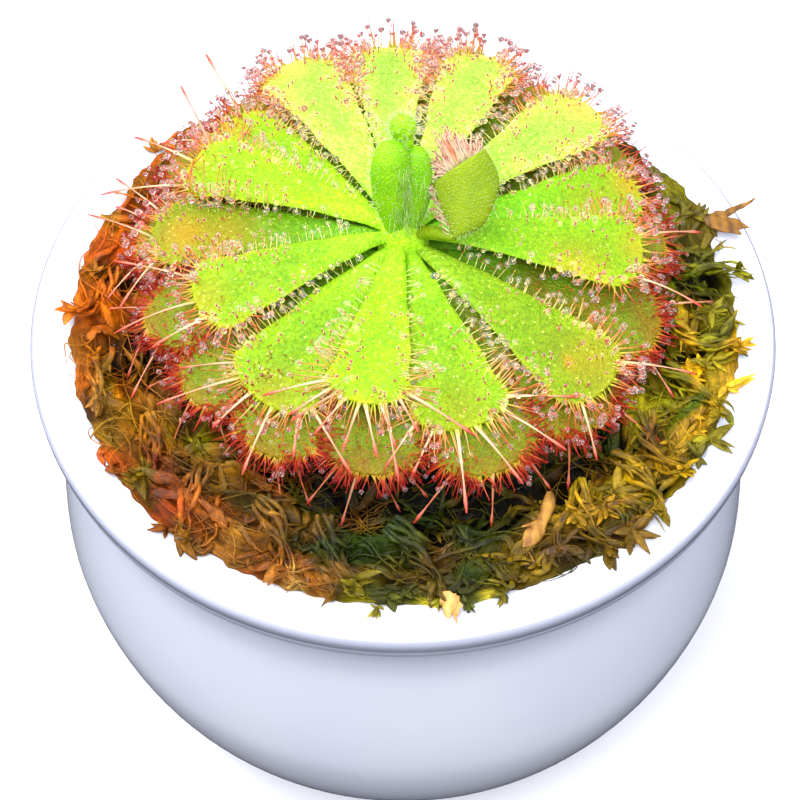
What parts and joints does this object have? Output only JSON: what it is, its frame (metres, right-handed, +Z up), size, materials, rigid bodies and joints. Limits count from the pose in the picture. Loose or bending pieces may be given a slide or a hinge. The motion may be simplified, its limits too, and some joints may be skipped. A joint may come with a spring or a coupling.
{
  "type": "potted sundew carnivorous plant",
  "caption": "Flat rosette of wedge-shaped sticky leaves with red tentacles, growing in sphagnum moss in a small round-bellied glazed pot.",
  "frame": {"origin": "on the pot's axis, in the plane its foot ring stands on", "axes": "+Z up; -Y towards the side the plant faces, where the dry flake lies on the lip"},
  "size_m": [0.07, 0.07, 0.0676],
  "materials": {
    "white_glaze": "glossy white glaze",
    "moss_bed": "wet packed moss",
    "crown": "soft plant stem",
    "leaf": "satin leaf with fine bumps",
    "older_leaf": "satin leaf, red at the margin",
    "young_leaf": "downy young leaf",
    "moss_sprig": "wet moss strand",
    "straw": "dry straw",
    "bark": "rough bark"
  },
  "bodies": {
    "root": {"pot": "white_glaze", "moss_bed": "moss_bed", "root_crown": "crown", "leaf_01": "leaf", "leaf_02": "leaf", "leaf_03": "leaf", "leaf_04": "leaf", "leaf_05": "leaf", "leaf_06": "leaf", "leaf_07": "leaf", "leaf_08": "leaf", "leaf_09": "leaf", "leaf_10": "leaf", "leaf_11": "leaf", "leaf_12": "leaf", "leaf_13": "leaf", "leaf_14": "leaf", "lower_leaf_01": "older_leaf", "lower_leaf_02": "older_leaf", "lower_leaf_03": "older_leaf", "lower_leaf_04": "older_leaf", "lower_leaf_05": "older_leaf", "lower_leaf_06": "older_leaf", "lower_leaf_07": "older_leaf", "lower_leaf_08": "older_leaf", "lower_leaf_09": "older_leaf", "lower_leaf_10": "older_leaf", "lower_leaf_11": "older_leaf", "lower_leaf_12": "older_leaf", "lower_leaf_13": "older_leaf", "lower_leaf_14": "older_leaf", "lower_leaf_15": "older_leaf", "folded_leaf": "young_leaf", "flower_stalk": "young_leaf", "cupped_leaf": "young_leaf", "moss_sprig_01": "moss_sprig", "moss_sprig_02": "moss_sprig", "moss_sprig_03": "moss_sprig", "moss_sprig_04": "moss_sprig", "moss_sprig_05": "moss_sprig", "moss_sprig_06": "moss_sprig", "moss_sprig_07": "moss_sprig", "moss_sprig_08": "moss_sprig", "moss_sprig_09": "moss_sprig", "moss_sprig_10": "moss_sprig", "moss_sprig_11": "moss_sprig", "moss_sprig_12": "moss_sprig", "moss_sprig_13": "moss_sprig", "moss_sprig_14": "moss_sprig", "dry_twig": "straw", "dry_flake_front": "straw", "dry_flake_right": "straw", "bark_chip": "bark"}
  },
  "joints": []
}
